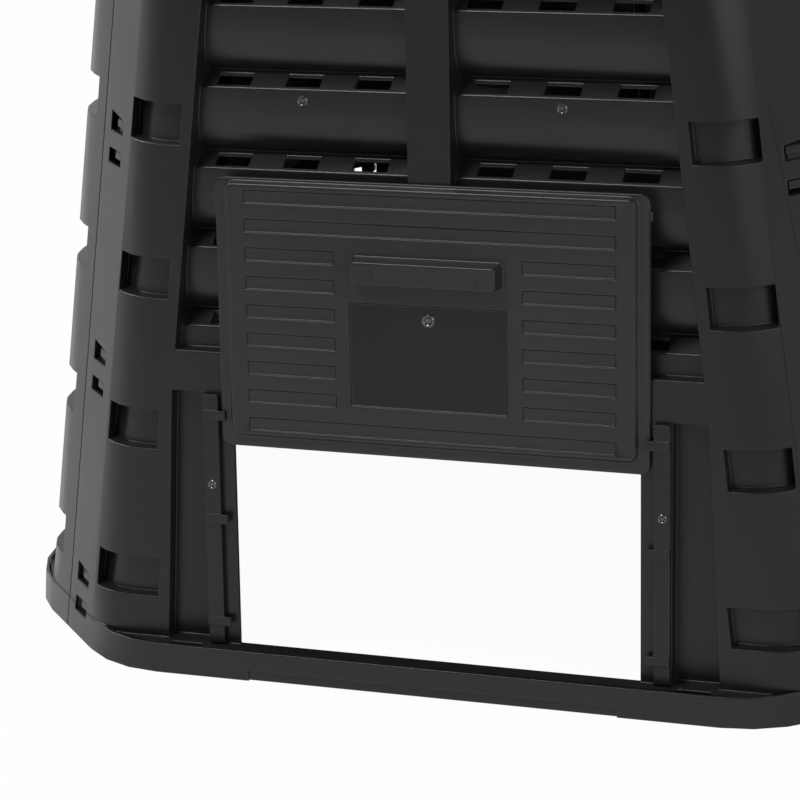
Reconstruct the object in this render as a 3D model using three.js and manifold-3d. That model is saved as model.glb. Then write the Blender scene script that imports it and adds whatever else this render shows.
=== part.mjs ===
// Square garden compost bin: four interlocking louvred walls, a sliding harvest door
// in two clip-on rails, and a hinged lid. Millimetres, +Z up, the door faces -Y.
import * as THREE from "three";
import { mergeVertices } from "three/addons/utils/BufferGeometryUtils.js";
import Module from "manifold-3d";

const wasm = await Module();
wasm.setup();

// Overall form
const FOOT_HALF = 360; // half width over the base skirt
const SKIRT_REACH = 16.2; // how far the skirt stands out at the ground from the wall faces
const WALL_TOP = 770;
const LEAN_SHARE = 0.117; // inward lean of every wall, per millimetre of height
const CORNER_LEG = 81; // leg of the 45 degree corner at the ground
const CORNER_GROWTH_SHARE = 0.015; // the corner leg grows by this much per millimetre
const CORNER_RADIUS = 50;
const SEAM_SHIFT = 6.2; // the corner seams lie this far off the corners' middle lines
const SHEET = 3.5; // thickness of the moulded wall
const SEAM_GAP = 0.3;
const OVERRUN = 6; // how far a cutting tool runs past the face it cuts

// Base skirt and the gutter ledge behind it
const SKIRT_HEIGHT = 23;
const SKIRT_RADIUS = 90;
const SKIRT_PROUD = 0.4; // the skirt stands this far over the wall at the corners
const LEDGE_TOP = 20;
const LEDGE_SHEET = 3;
const TOE_MARGIN = 12.6; // the shallow step of the skirt ends this far inside the opening
const TOE_HEIGHT = 8.3;
const TOE_DEPTH = 2;
const LEDGE_HOLE_MARGIN = 5.7;
const LEDGE_HOLE_WIDTH = 23;
const LEDGE_HOLE_DEPTH = 10;

// Louvred recess
const RECESS_MARGIN = 123.4; // wall left beside the recess, up to the wall's half width
const RECESS_DEPTH = 30;
const RECESS_SHEET = 3;
const POST_HALF = 15.6;
const LOUVRE_PITCH = 56.65;
const LOUVRE_LIFT = 48.8; // from the opening's top to the front edge of the lowest louvre
const LOUVRE_DEPTH = 10; // the flat bands lie this far behind the wall face
const LOUVRE_BACK = 24.5; // the feet of the curved faces lie this far behind it
const LOUVRE_SHEET = 2.6;
const SHELF_RISE = 9.3;
const CURVE_RISE = 31.1;
const CURVE_SWEEP = Math.PI * 0.39; // arc used from the quarter ellipse of each louvre
const CURVE_STEPS = 3;
const RECESS_FOOT_DROP = 14.8; // from the lowest louvre edge to the recess floor
const RIM_MARGIN = 50; // least height of plain wall above the recess
const VENT_WIDTH = 25;
const VENT_SPACING = 51.4;
const VENT_SHIFT = 2.5; // the vents of both bays sit this far left of the bay's middle
const VENT_NEAR_SHARE = 0.18; // start and end of a vent along the shelf
const VENT_FAR_SHARE = 0.8;
const VENT_HEADROOM = 1;

// Corner column pockets
const POCKET_TOP = 78.5; // upper edge of the lowest pocket
const POCKET_PITCH = 110;
const POCKET_HEIGHT = 28.5;
const POCKET_DEPTH = 9.5;
const POCKET_MARGIN = 8.6; // from the recess to the inner edge of a pocket
const POCKET_MARGIN_DOOR = 13.2; // from the channel beside the door to the lowest pocket
const POCKET_INSET = 71.1; // from a front or back wall's half width to a pocket's outer edge
const POCKET_INSET_SIDE = 62.3;

// Hook windows of the front and back walls, and the hooks of the side walls
const HOOK_TOP = 55; // upper edge of the lowest pair of windows
const HOOK_PITCH = 168;
const WINDOW_LAND = 9.2; // wall left between a window and the seam
const WINDOW_WIDTH = 15.8;
const WINDOW_SLOPE = 3.6;
const WINDOW_UPPER = 14;
const WINDOW_BRIDGE = 12.5;
const WINDOW_LOWER = 10.5;
const HOOK_HEIGHT = 6;
const HOOK_WIDTH = 8;
const HOOK_CLEARANCE = 0.6;
const ARM_EASE = 0.5; // a latch arm lies this far inside its tongue, the tongue in its wall
const HOOK_SINK = 1.2; // the hooks stop this far under the face of the window wall
const TONGUE_SHEET = 3; // full-height tongue of a side wall, behind the seam
const TONGUE_ROOT = 6;
const TONGUE_REACH = 4;

// Harvest opening
const OPENING_MARGIN = 194.5; // wall left beside the opening, up to the wall's half width
const OPENING_TOP = 200;
const CHANNEL_WIDTH = 34.5; // channel beside each rail
const CHANNEL_LEAN_SHARE = 0.048;
const CHANNEL_RISE = 4.3; // it ends this far above the opening
const CHANNEL_DEPTH = 10;

// Door, modelled flat on the wall face: x across, z up the slope, -y outward
const DOOR_OVERLAP = 7.7; // the door covers this much wall beside the opening
const DOOR_HEIGHT = 193;
const DOOR_SHEET = 3;
const DOOR_STANDOFF = 0.5;
const DOOR_CORNER = 7;
const DOOR_HANG = 30.6; // drawn up as in use, it still covers this much of the opening
const FIELD_MARGIN = 7;
const FIELD_MARGIN_LOW = 7.1;
const FIELD_MARGIN_TOP = 1.2;
const FIELD_RAISE = 4;
const FIELD_BEVEL = 3;
const FIELD_CORNER = 7.5;
const GROOVE_PITCH = 20.3;
const GROOVE_HEIGHT = 9;
const GROOVE_DEPTH = 1;
const GROOVE_MARGIN = 16;
const GROOVE_SPACE = 11.3; // from the label recess to the short grooves beside it
const GROOVE_LOWEST = 13.2; // lower edge of the lowest groove above the door's edge
const LABEL_HALF = 57;
const LABEL_LOW = 35.5;
const LABEL_HEIGHT = 73.5;
const HANDLE_HALF = 54.8;
const HANDLE_LIFT = 15; // from the label recess to the handle
const HANDLE_HEIGHT = 18.5;
const HANDLE_REACH = 10;
const HANDLE_TAPER = 2.8;
const HANDLE_SHEET = 2;
const HANDLE_CORNER = 2.5;
const NIB_REACH = 1.6;
const NIB_HEIGHT = 6;
const NIB_DROP = 12;

// Rails
const RAIL_CLEARANCE = 2.5; // running space beside the door's edge
const RAIL_WIDTH = 12;
const RAIL_LIFT = 1; // the rail starts this far above the ledge
const RAIL_RISE = 5.5; // it ends this far above the opening
const RAIL_STANDOFF = 0.3;
const RAIL_FACE = 4.4;
const CLIP_FACE = 6.2;
const CLIP_LAP = 3.4; // the clips reach this far over the door's flange
const CLIP_HEIGHT = 7;
const CLIP_GAP = 0.4; // running clearance over the door's flange
const CLIP_INSET_LOW = 16.8; // from the rail's ends to the middle of the outermost clips
const CLIP_INSET_TOP = 14.9;
const CAP_HEIGHT = 3;
const CAP_LIFT = 1;
const PEG_LEVEL_SHARES = [0.21, 0.645]; // of the rail's length
const PEG_WIDTH = 5;
const PEG_HEIGHT = 10;
const PEG_BARB = 1.5;

// Lid
const LID_LAP = 30; // the lid's skirt covers this much of the walls
const LID_CROWN = 14; // rise of the middle plate's edge
const LID_SHEET = 3;
const LID_CLEARANCE = 2;
const LID_SEAT_GAP = 0.3;
const LID_SHOULDER = 9;
const LID_SLOPE_RUN = 103.71; // from the walls' top edge in to the top of the slopes
const LID_SLOPE_RISE = 36; // from the walls' top to the top of the slopes
const LID_PLATE_INSET = 18;
const LID_CENTRE_LEG_SHARE = 0.3;
const LID_CENTRE_RADIUS = 30;
const LID_RIB_WIDTH = 10;
const LID_RIB_RAISE = 3;
const LID_RIB_SPACING = 70;
const GRIP_HALF = 75;
const GRIP_REACH = 22;
const GRIP_SHEET = 4;
const GRIP_LIP = 9;

// Lid hinges on the back wall
const HINGE_INSET = 138.6; // from the wall's half width at the hinges to a hinge's middle
const HINGE_STANDOFF = 13.376; // from the back wall's face to the hinge axis
const HINGE_DROP = 12; // from the lid's lower edge down to the axis
const BARREL_RADIUS = 8;
const BARREL_HALF = 15;
const EAR_RADIUS = 9;
const EAR_SHEET = 6;
const EAR_GAP = 0.6;
const PIN_RADIUS = 4;
const PIN_CLEARANCE = 0.3;
const PIN_HEAD_RADIUS = 6.5;
const PIN_HEAD = 3;
const ARM_HEIGHT = 24;

const ARC_STEPS = 3;
const INNER_STEPS = 2; // hidden inner sides are plainer
const BACK_STEPS = 1;
const ROUND_STEPS = 12;
const MERGE_DISTANCE = 1e-4;
const ROOT2 = Math.SQRT2;
const LEG_PER_INSET = 2 - ROOT2; // how a 45 degree corner's leg changes as its outline moves in
const LEAN_ANGLE = Math.atan(LEAN_SHARE);
const copiesUpTo = (high, first, pitch) => Math.floor((high - first) / pitch) + 1;

// Places that follow from the sizes above, across as at the ground of the leaning walls
const WALL_HALF = FOOT_HALF - SKIRT_REACH;
const SEAM_REACH = WALL_HALF - CORNER_LEG / 2 + SEAM_SHIFT;
const WINDOW_FAR = SEAM_REACH - WINDOW_LAND;
const WINDOW_NEAR = WINDOW_FAR - WINDOW_WIDTH;
const OPENING_HALF = WALL_HALF - OPENING_MARGIN;
const TOE_HALF = OPENING_HALF - TOE_MARGIN;
const DOOR_HALF = OPENING_HALF + DOOR_OVERLAP;
const DOOR_BOTTOM = OPENING_TOP - DOOR_HANG;
const FIELD_HALF = DOOR_HALF - FIELD_MARGIN;
const GROOVE_HALF = FIELD_HALF - GROOVE_MARGIN;
const GROOVE_INNER = LABEL_HALF + GROOVE_SPACE;
const HANDLE_LOW = LABEL_LOW + LABEL_HEIGHT + HANDLE_LIFT;
const RAIL_NEAR = DOOR_HALF + RAIL_CLEARANCE;
const RAIL_FAR = RAIL_NEAR + RAIL_WIDTH;
const RAIL_LOW = LEDGE_TOP + RAIL_LIFT;
const RAIL_TOP = OPENING_TOP + RAIL_RISE;
const CLIP_REACH = DOOR_HALF - CLIP_LAP;
const CHANNEL_NEAR = RAIL_FAR + SEAM_GAP;
const CHANNEL_FAR = CHANNEL_NEAR + CHANNEL_WIDTH;
const CHANNEL_TOP = OPENING_TOP + CHANNEL_RISE;
const LEDGE_HOLE_NEAR = CHANNEL_NEAR + LEDGE_HOLE_MARGIN;
const LEDGE_HOLE_FAR = LEDGE_HOLE_NEAR + LEDGE_HOLE_WIDTH;
const RECESS_HALF = WALL_HALF - RECESS_MARGIN;
const POCKET_NEAR = RECESS_HALF + POCKET_MARGIN;
const POCKET_NEAR_DOOR = CHANNEL_FAR + POCKET_MARGIN_DOOR;
const POCKET_FAR = WALL_HALF - POCKET_INSET;
const POCKET_FAR_SIDE = WALL_HALF - POCKET_INSET_SIDE;
const LID_SKIRT_LOW = WALL_TOP - LID_LAP;
const LID_SLOPE_TOP = WALL_TOP + LID_SLOPE_RISE;
const LID_TOP = LID_SLOPE_TOP + LID_CROWN;
const LOUVRE_FIRST = OPENING_TOP + LOUVRE_LIFT;
const LOUVRE_RISE = SHELF_RISE + CURVE_RISE;
const LOUVRE_ROWS = copiesUpTo(WALL_TOP - RIM_MARGIN - LOUVRE_RISE, LOUVRE_FIRST, LOUVRE_PITCH);
const RECESS_FLOOR = LOUVRE_FIRST - RECESS_FOOT_DROP;
const RECESS_TOP = LOUVRE_FIRST + (LOUVRE_ROWS - 1) * LOUVRE_PITCH + LOUVRE_RISE;
const POCKET_COUNT = copiesUpTo(LID_SKIRT_LOW - POCKET_HEIGHT, POCKET_TOP, POCKET_PITCH);
const HOOK_COUNT = copiesUpTo(LID_SKIRT_LOW - WINDOW_UPPER, HOOK_TOP, HOOK_PITCH);

// Level sizes of the leaning walls
const halfAt = (z) => WALL_HALF - LEAN_SHARE * z;
const legAt = (z) => CORNER_LEG + CORNER_GROWTH_SHARE * z;
const MIDDLE_LEAN_SHARE = LEAN_SHARE + CORNER_GROWTH_SHARE / 2;
const middleAt = (z) => halfAt(z) - legAt(z) / 2; // x and -y of the corner's middle line
const LID_SLOPE_HALF = halfAt(WALL_TOP) - LID_SLOPE_RUN;
const LID_PLATE_HALF = LID_SLOPE_HALF - LID_PLATE_INSET;
const HINGE_LEVEL = LID_SKIRT_LOW - HINGE_DROP;
const HINGE_BACK = halfAt(HINGE_LEVEL) + HINGE_STANDOFF;
const HINGE_OFFSET = halfAt(HINGE_LEVEL) - HINGE_INSET;

// Where a wall ends at its corner: the seam lies off the middle line, further out on the
// front and back walls (sense 1) and further in on the side walls (sense -1)
const SENSE_FRONT = 1;
const SENSE_SIDE = -1;
const seamAt = (z, sense) => middleAt(z) + sense * (SEAM_REACH - LEAN_SHARE * z - middleAt(z));

// Solids from three.js geometry and back again
function solidFrom(geometry, matrix = null) {
  const plain = geometry.index ? geometry.toNonIndexed() : geometry.clone();
  for (const name of Object.keys(plain.attributes)) {
    if (name !== "position") plain.deleteAttribute(name);
  }
  if (matrix) plain.applyMatrix4(matrix);
  const merged = mergeVertices(plain, MERGE_DISTANCE);
  const vertProperties = merged.attributes.position.array;
  const triVerts = new Uint32Array(merged.index.array);
  const solid = new wasm.Manifold(new wasm.Mesh({ numProp: 3, vertProperties, triVerts }));
  if (solid.volume() > 0) return solid;
  for (let i = 0; i < triVerts.length; i += 3) {
    [triVerts[i + 1], triVerts[i + 2]] = [triVerts[i + 2], triVerts[i + 1]];
  }
  return new wasm.Manifold(new wasm.Mesh({ numProp: 3, vertProperties, triVerts }));
}

function geometryFrom(solid) {
  const mesh = solid.getMesh();
  const geometry = new THREE.BufferGeometry();
  geometry.setAttribute("position", new THREE.BufferAttribute(new Float32Array(mesh.vertProperties), 3));
  geometry.setIndex(new THREE.BufferAttribute(new Uint32Array(mesh.triVerts), 1));
  const flat = geometry.toNonIndexed();
  flat.computeVertexNormals();
  return flat;
}

const joined = (solids) => solids.reduce((all, one) => all.add(one));

// Closed loft through rings that have the same number of points
function loft(rings) {
  const count = rings[0].length;
  const positions = rings.flat().flatMap((p) => [p.x, p.y, p.z]);
  const index = [];
  for (let r = 0; r + 1 < rings.length; r++) {
    for (let i = 0; i < count; i++) {
      const j = (i + 1) % count;
      const a = r * count + i;
      const b = r * count + j;
      index.push(a, b, b + count, a, b + count, a + count);
    }
  }
  const cap = (ring, offset, up) => {
    const flat = ring.map((p) => new THREE.Vector2(p.x, p.y));
    for (const [a, b, c] of THREE.ShapeUtils.triangulateShape(flat, [])) {
      const area = THREE.ShapeUtils.area([flat[a], flat[b], flat[c]]);
      const turned = area > 0 === up ? [a, b, c] : [a, c, b];
      index.push(...turned.map((k) => k + offset));
    }
  };
  cap(rings[0], 0, THREE.ShapeUtils.area(rings[0]) < 0);
  cap(rings.at(-1), (rings.length - 1) * count, THREE.ShapeUtils.area(rings.at(-1)) > 0);
  const geometry = new THREE.BufferGeometry();
  geometry.setAttribute("position", new THREE.Float32BufferAttribute(positions, 3));
  geometry.setIndex(index);
  return geometry;
}

const raised = (line, z) => line.map(([x, y]) => new THREE.Vector3(x, y, z));

// Prisms along y and along x from outlines given as [across, up] pairs
function shapeOf(points) {
  return new THREE.Shape(points.map(([a, b]) => new THREE.Vector2(a, b)));
}

function prismY(points, front, back) {
  const depth = back - front;
  const geometry = new THREE.ExtrudeGeometry(shapeOf(points), { depth, bevelEnabled: false });
  return geometry.rotateX(Math.PI / 2).translate(0, back, 0);
}

const TURN_TO_X = new THREE.Matrix4().set(0, 0, 1, 0, 1, 0, 0, 0, 0, 1, 0, 0, 0, 0, 0, 1);

function prismX(shape, left, right, curveSegments = ARC_STEPS) {
  const depth = right - left;
  const geometry = new THREE.ExtrudeGeometry(shape, { depth, bevelEnabled: false, curveSegments });
  return geometry.applyMatrix4(TURN_TO_X).translate(left, 0, 0);
}

const rectangle = (x0, x1, z0, z1) => [[x0, z0], [x1, z0], [x1, z1], [x0, z1]];

function roundedRectangle(half, z0, z1, radius, steps = ARC_STEPS) {
  const near = half - radius;
  const corners = [[near, z1 - radius], [-near, z1 - radius], [-near, z0 + radius], [near, z0 + radius]];
  return corners.flatMap(([x, z], quarter) =>
    Array.from({ length: steps + 1 }, (_, i) => {
      const angle = (quarter + i / steps) * (Math.PI / 2);
      return [x + radius * Math.cos(angle), z + radius * Math.sin(angle)];
    }),
  );
}

// The leaning wall face: x across, y is the depth behind the face, z up
const LEAN = new THREE.Matrix4().set(1, 0, 0, 0, 0, 1, LEAN_SHARE, -WALL_HALF, 0, 0, 1, 0, 0, 0, 0, 1);
const slab = (points, front, back) => solidFrom(prismY(points, front, back), LEAN);

// Strip between two heights whose sides lean in with the neighbouring walls
function leaningStrip(near, far, low, high, side, farLean = LEAN_SHARE) {
  const inner = (z) => [side * (near - LEAN_SHARE * z), z];
  const outer = (z) => [side * (far - farLean * z), z];
  return [inner(low), outer(low), outer(high), inner(high)];
}

// Flat door and rails are turned onto the wall face with this placement
const SLOPE = new THREE.Matrix4()
  .makeTranslation(0, -WALL_HALF, 0)
  .multiply(new THREE.Matrix4().makeRotationX(-LEAN_ANGLE));

// Plan line of one wall from seam to seam: the corner lines are those with x - y = corner
function planLine(half, corner, radius, seam, gap = SEAM_GAP / 2, steps = ARC_STEPS) {
  const start = corner - half - radius * Math.tan(Math.PI / 8);
  const right = [];
  for (let i = 0; i <= steps; i++) {
    const angle = -Math.PI / 2 + ((Math.PI / 4) * i) / steps;
    right.push([start + radius * Math.cos(angle), -half + radius + radius * Math.sin(angle)]);
  }
  const end = seam - gap / ROOT2;
  right.push([end, end - corner]);
  const left = right.map(([x, y]) => [-x, y]).reverse();
  return [...left, ...right];
}

function wallLine(z, inset, sense, steps = ARC_STEPS) {
  const corner = 2 * middleAt(z) - inset * ROOT2;
  const seam = seamAt(z, sense) - inset / ROOT2;
  return planLine(halfAt(z) - inset, corner, CORNER_RADIUS - inset, seam, SEAM_GAP / 2, steps);
}

// The skirt's corners follow the leaning corners of the wall, its sides stand upright
function skirtLine(z, inset, sense) {
  const corner = 2 * middleAt(z) + (SKIRT_PROUD - inset) * ROOT2;
  const seam = seamAt(z, sense) + (SKIRT_PROUD - inset) / ROOT2;
  return planLine(FOOT_HALF - inset, corner, SKIRT_RADIUS - inset, seam);
}

function between(outer, inner) {
  return [...outer, ...[...inner].reverse()];
}

// Layer of the wall between two insets from its face
function wallLayer(outer, inner, low, high, sense, innerSteps = INNER_STEPS) {
  const line = (z) => between(wallLine(z, outer, sense), wallLine(z, inner, sense, innerSteps));
  const ring = (z) => raised(line(z), z);
  return solidFrom(loft([ring(low), ring(high)]));
}

// Skirt, ledge and the details of the foot
function foot(sense) {
  const skirt = (z) => raised(between(skirtLine(z, 0, sense), skirtLine(z, SHEET, sense)), z);
  const body = solidFrom(loft([skirt(0), skirt(SKIRT_HEIGHT)]));
  const low = LEDGE_TOP - LEDGE_SHEET;
  const wallSide = (z) => wallLine(z, SHEET / 2, sense, INNER_STEPS);
  const ledge = (z) => raised(between(skirtLine(z, SHEET / 2, sense), wallSide(z)), z);
  const shelf = solidFrom(loft([ledge(low), ledge(LEDGE_TOP)]));
  const toeFront = -FOOT_HALF - OVERRUN;
  const toe = rectangle(-TOE_HALF, TOE_HALF, -OVERRUN, TOE_HEIGHT);
  return body.add(shelf).subtract(solidFrom(prismY(toe, toeFront, -FOOT_HALF + TOE_DEPTH)));
}

function ledgeHoles() {
  const front = -FOOT_HALF + SHEET;
  return joined([-1, 1].map((side) => {
    const edges = [side * LEDGE_HOLE_NEAR, side * LEDGE_HOLE_FAR].sort((a, b) => a - b);
    const hole = rectangle(...edges, LEDGE_TOP - LEDGE_SHEET - OVERRUN, LEDGE_TOP + OVERRUN);
    return solidFrom(prismY(hole, front, front + LEDGE_HOLE_DEPTH));
  }));
}

// Louvre profile as [depth, height] points, from the recess floor to its top
function louvreProfile(steps) {
  const points = [[LOUVRE_DEPTH, RECESS_FLOOR]];
  const depthRadius = (LOUVRE_BACK - LOUVRE_DEPTH) / (1 - Math.cos(CURVE_SWEEP));
  const heightRadius = CURVE_RISE / Math.sin(CURVE_SWEEP);
  for (let row = 0; row < LOUVRE_ROWS; row++) {
    const front = LOUVRE_FIRST + row * LOUVRE_PITCH;
    const crease = front + SHELF_RISE + CURVE_RISE;
    points.push([LOUVRE_DEPTH, front]);
    for (let i = steps; i >= 0; i--) {
      const angle = (CURVE_SWEEP * i) / steps;
      const depth = LOUVRE_DEPTH + depthRadius * (1 - Math.cos(angle));
      points.push([depth, crease - heightRadius * Math.sin(angle)]);
    }
  }
  return points;
}

// Copy of an open line moved sideways by a distance, with mitred corners
function movedAside(points, distance) {
  const normals = points.slice(1).map(([d, z], i) => {
    const [d0, z0] = points[i];
    const length = Math.hypot(d - d0, z - z0);
    return [(z - z0) / length, -(d - d0) / length];
  });
  return points.map(([d, z], i) => {
    const before = normals[Math.max(i - 1, 0)];
    const after = normals[Math.min(i, normals.length - 1)];
    const shrink = distance / (1 + before[0] * after[0] + before[1] * after[1]);
    return [d + (before[0] + after[0]) * shrink, z + (before[1] + after[1]) * shrink];
  });
}

function recessOutline(grow) {
  const low = RECESS_FLOOR - grow;
  const high = RECESS_TOP + grow;
  const half = (z) => RECESS_HALF + grow - LEAN_SHARE * z;
  return [[-half(low), low], [half(low), low], [half(high), high], [-half(high), high]];
}

function vents() {
  const cuts = [];
  for (let row = 0; row < LOUVRE_ROWS; row++) {
    const front = LOUVRE_FIRST + row * LOUVRE_PITCH;
    const bayMiddle = (RECESS_HALF - LEAN_SHARE * front + POST_HALF) / 2;
    const along = (share, lift) => [
      LOUVRE_DEPTH + share * (LOUVRE_BACK - LOUVRE_DEPTH),
      front + share * SHELF_RISE + lift,
    ];
    const profile = [
      along(VENT_NEAR_SHARE, VENT_HEADROOM),
      along(VENT_FAR_SHARE, VENT_HEADROOM),
      along(VENT_FAR_SHARE, -OVERRUN),
      along(VENT_NEAR_SHARE, -OVERRUN),
    ];
    for (const side of [-1, 1]) {
      for (const step of [-1, 0, 1]) {
        const middle = side * bayMiddle - VENT_SHIFT + step * VENT_SPACING;
        const ends = [middle - VENT_WIDTH / 2, middle + VENT_WIDTH / 2];
        cuts.push(solidFrom(prismX(shapeOf(profile), ...ends), LEAN));
      }
    }
  }
  return joined(cuts);
}

function louvres() {
  const face = louvreProfile(CURVE_STEPS);
  const back = movedAside(louvreProfile(INNER_STEPS), LOUVRE_SHEET);
  const full = solidFrom(prismX(shapeOf(between(face, back)), -RECESS_HALF, RECESS_HALF), LEAN);
  const bay = slab(recessOutline(RECESS_SHEET / 2), -OVERRUN, RECESS_DEPTH + OVERRUN);
  const frame = slab(recessOutline(RECESS_SHEET), 0, RECESS_DEPTH)
    .subtract(slab(recessOutline(0), -OVERRUN, RECESS_DEPTH + OVERRUN));
  const post = slab(rectangle(-POST_HALF, POST_HALF, RECESS_FLOOR, RECESS_TOP), 0, RECESS_DEPTH);
  const hollow = POST_HALF - RECESS_SHEET;
  const hollowLine = rectangle(-hollow, hollow, RECESS_FLOOR, RECESS_TOP);
  const channel = slab(hollowLine, RECESS_SHEET, RECESS_DEPTH + OVERRUN);
  return full.intersect(bay).subtract(vents()).add(frame).add(post).subtract(channel);
}

// Corner column pockets of one wall, as the block to add and the hollow to cut. Those of a
// side wall follow the corner's middle line with their outer edges, clear of the seam.
function pockets(near, far, sense) {
  const farLean = sense === SENSE_SIDE ? MIDDLE_LEAN_SHARE : LEAN_SHARE;
  const strips = (grow) => {
    const all = [];
    for (let i = 0; i < POCKET_COUNT; i++) {
      const high = POCKET_TOP + i * POCKET_PITCH + grow;
      const low = high - POCKET_HEIGHT - 2 * grow;
      for (const side of [-1, 1]) {
        const outline = leaningStrip(near(i) - grow, far + grow, low, high, side, farLean);
        all.push(slab(outline, -OVERRUN, WALL_HALF / 2));
      }
    }
    return joined(all);
  };
  const reach = POCKET_DEPTH + SHEET;
  const low = LEDGE_TOP;
  return {
    block: wallLayer(SHEET / 2, reach, low, WALL_TOP, sense, BACK_STEPS).intersect(strips(SHEET)),
    hollow: wallLayer(-OVERRUN, POCKET_DEPTH, low, WALL_TOP, sense).intersect(strips(0)),
  };
}

// Windows in the corner of a front or back wall, one pair for each hook level
function hookWindows() {
  const cuts = [];
  for (let i = 0; i < HOOK_COUNT; i++) {
    const top = HOOK_TOP + i * HOOK_PITCH;
    const lower = top - WINDOW_UPPER - WINDOW_BRIDGE;
    for (const side of [-1, 1]) {
      const at = (x, z) => [side * (x - LEAN_SHARE * z), z];
      const upper = [
        at(WINDOW_FAR, top),
        at(WINDOW_NEAR, top - WINDOW_SLOPE),
        at(WINDOW_NEAR, top - WINDOW_UPPER),
        at(WINDOW_FAR, top - WINDOW_UPPER),
      ];
      const low = leaningStrip(WINDOW_NEAR, WINDOW_FAR, lower - WINDOW_LOWER, lower, side);
      cuts.push(slab(upper, -OVERRUN, WALL_HALF / 2), slab(low, -OVERRUN, WALL_HALF / 2));
    }
  }
  return joined(cuts);
}

// The corner face at +X, square to the front wall like its windows: x across, as it would be
// at the ground of the leaning wall, y the depth behind the corner face, z up
const CORNER = new THREE.Matrix4().set(
  1, 0, -LEAN_SHARE, 0,
  1, ROOT2, 2 * MIDDLE_LEAN_SHARE - LEAN_SHARE, -2 * middleAt(0),
  0, 0, 1, 0,
  0, 0, 0, 1,
);

// Full-height tongue of a side wall: it starts on the wall's own side of the seam
function cornerTongue() {
  const behind = SHEET + SEAM_GAP;
  const deep = behind + TONGUE_SHEET;
  const root = SEAM_GAP / 2 - TONGUE_ROOT;
  const ring = (z) => {
    const across = seamAt(z, SENSE_FRONT);
    const at = (along, depth) => [
      across - (along + depth) / ROOT2,
      across - 2 * middleAt(z) - (along - depth) / ROOT2,
    ];
    const seam = -SEAM_GAP / 2 - ARM_EASE;
    const inSheet = SHEET / 2;
    const line = [
      at(root, inSheet), at(seam, inSheet), at(seam, behind),
      at(TONGUE_REACH, behind), at(TONGUE_REACH, deep), at(root, deep),
    ];
    return raised(line, z);
  };
  return solidFrom(loft([ring(LEDGE_TOP + SEAM_GAP), ring(WALL_TOP)]));
}

// Latches that reach behind the front wall's bridges and hook into its windows
function cornerLatches() {
  const behind = SHEET + SEAM_GAP;
  const deep = behind + TONGUE_SHEET;
  const near = WINDOW_NEAR + HOOK_CLEARANCE;
  const far = near + HOOK_WIDTH;
  const parts = [cornerTongue()];
  for (let i = 0; i < HOOK_COUNT; i++) {
    const windowTop = HOOK_TOP + i * HOOK_PITCH;
    const bridgeTop = windowTop - WINDOW_UPPER;
    const bridgeLow = bridgeTop - WINDOW_BRIDGE;
    const high = windowTop - WINDOW_SLOPE - HOOK_CLEARANCE;
    const low = bridgeLow - HOOK_CLEARANCE;
    const hooks = shapeOf([
      [deep, low - HOOK_HEIGHT], [HOOK_SINK, low - HOOK_HEIGHT], [HOOK_SINK, low], [behind, low],
      [behind, high - HOOK_HEIGHT], [HOOK_SINK, high - HOOK_HEIGHT], [HOOK_SINK, high], [deep, high],
    ]);
    const armLine = rectangle(far - HOOK_WIDTH / 2, SEAM_REACH, bridgeLow, bridgeTop);
    const arm = prismY(armLine, behind + ARM_EASE, deep - ARM_EASE);
    parts.push(solidFrom(prismX(hooks, near, far), CORNER), solidFrom(arm, CORNER));
  }
  return joined(parts);
}

// A solid in the front-right corner, carried to the two ends of a side wall drawn at -Y
function atBothEnds(solid) {
  const geometry = geometryFrom(solid);
  const turn = new THREE.Matrix4().makeRotationZ(-Math.PI / 2);
  const mirror = new THREE.Matrix4().makeScale(-1, 1, 1);
  return solidFrom(geometry, turn).add(solidFrom(geometry, mirror.multiply(turn)));
}

// One wall with what its corners add to it, drawn at -Y
function plainWall(near, far, sense, corners = []) {
  const { block, hollow } = pockets(near, far, sense);
  return joined([wallLayer(0, SHEET, LEDGE_TOP - LEDGE_SHEET, WALL_TOP, sense), ...corners])
    .add(foot(sense))
    .add(block)
    .subtract(hollow)
    .subtract(slab(recessOutline(RECESS_SHEET / 2), -OVERRUN, SHEET + OVERRUN))
    .add(louvres());
}

function channels() {
  const strips = (grow) => joined([-1, 1].map((side) => {
    const at = (x, z) => [side * x, z];
    const low = LEDGE_TOP - (grow ? LEDGE_SHEET / 2 : 0);
    const high = CHANNEL_TOP + grow;
    const far = (z) => CHANNEL_FAR + grow - CHANNEL_LEAN_SHARE * z;
    const near = CHANNEL_NEAR - grow;
    const outline = [at(near, low), at(far(low), low), at(far(high), high), at(near, high)];
    const front = grow ? SHEET / 2 : -OVERRUN;
    return slab(outline, front, CHANNEL_DEPTH + grow);
  }));
  return { block: strips(SHEET), hollow: strips(0) };
}

// Peg box in the flat frame of the door and rails
function flatBox(x0, x1, out, back, z0, z1) {
  return prismY(rectangle(x0, x1, z0, z1), -out, -back);
}

const pegLevels = PEG_LEVEL_SHARES.map((share) => RAIL_LOW + share * (RAIL_TOP - RAIL_LOW));

function railPegs(side, grow, back) {
  const middle = (RAIL_NEAR + RAIL_FAR) / 2;
  const half = PEG_WIDTH / 2 + grow;
  const tall = PEG_HEIGHT / 2 + grow;
  return pegLevels.map((level) =>
    flatBox(side * middle - half, side * middle + half, RAIL_FACE / 2, back, level - tall, level + tall),
  );
}

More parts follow.
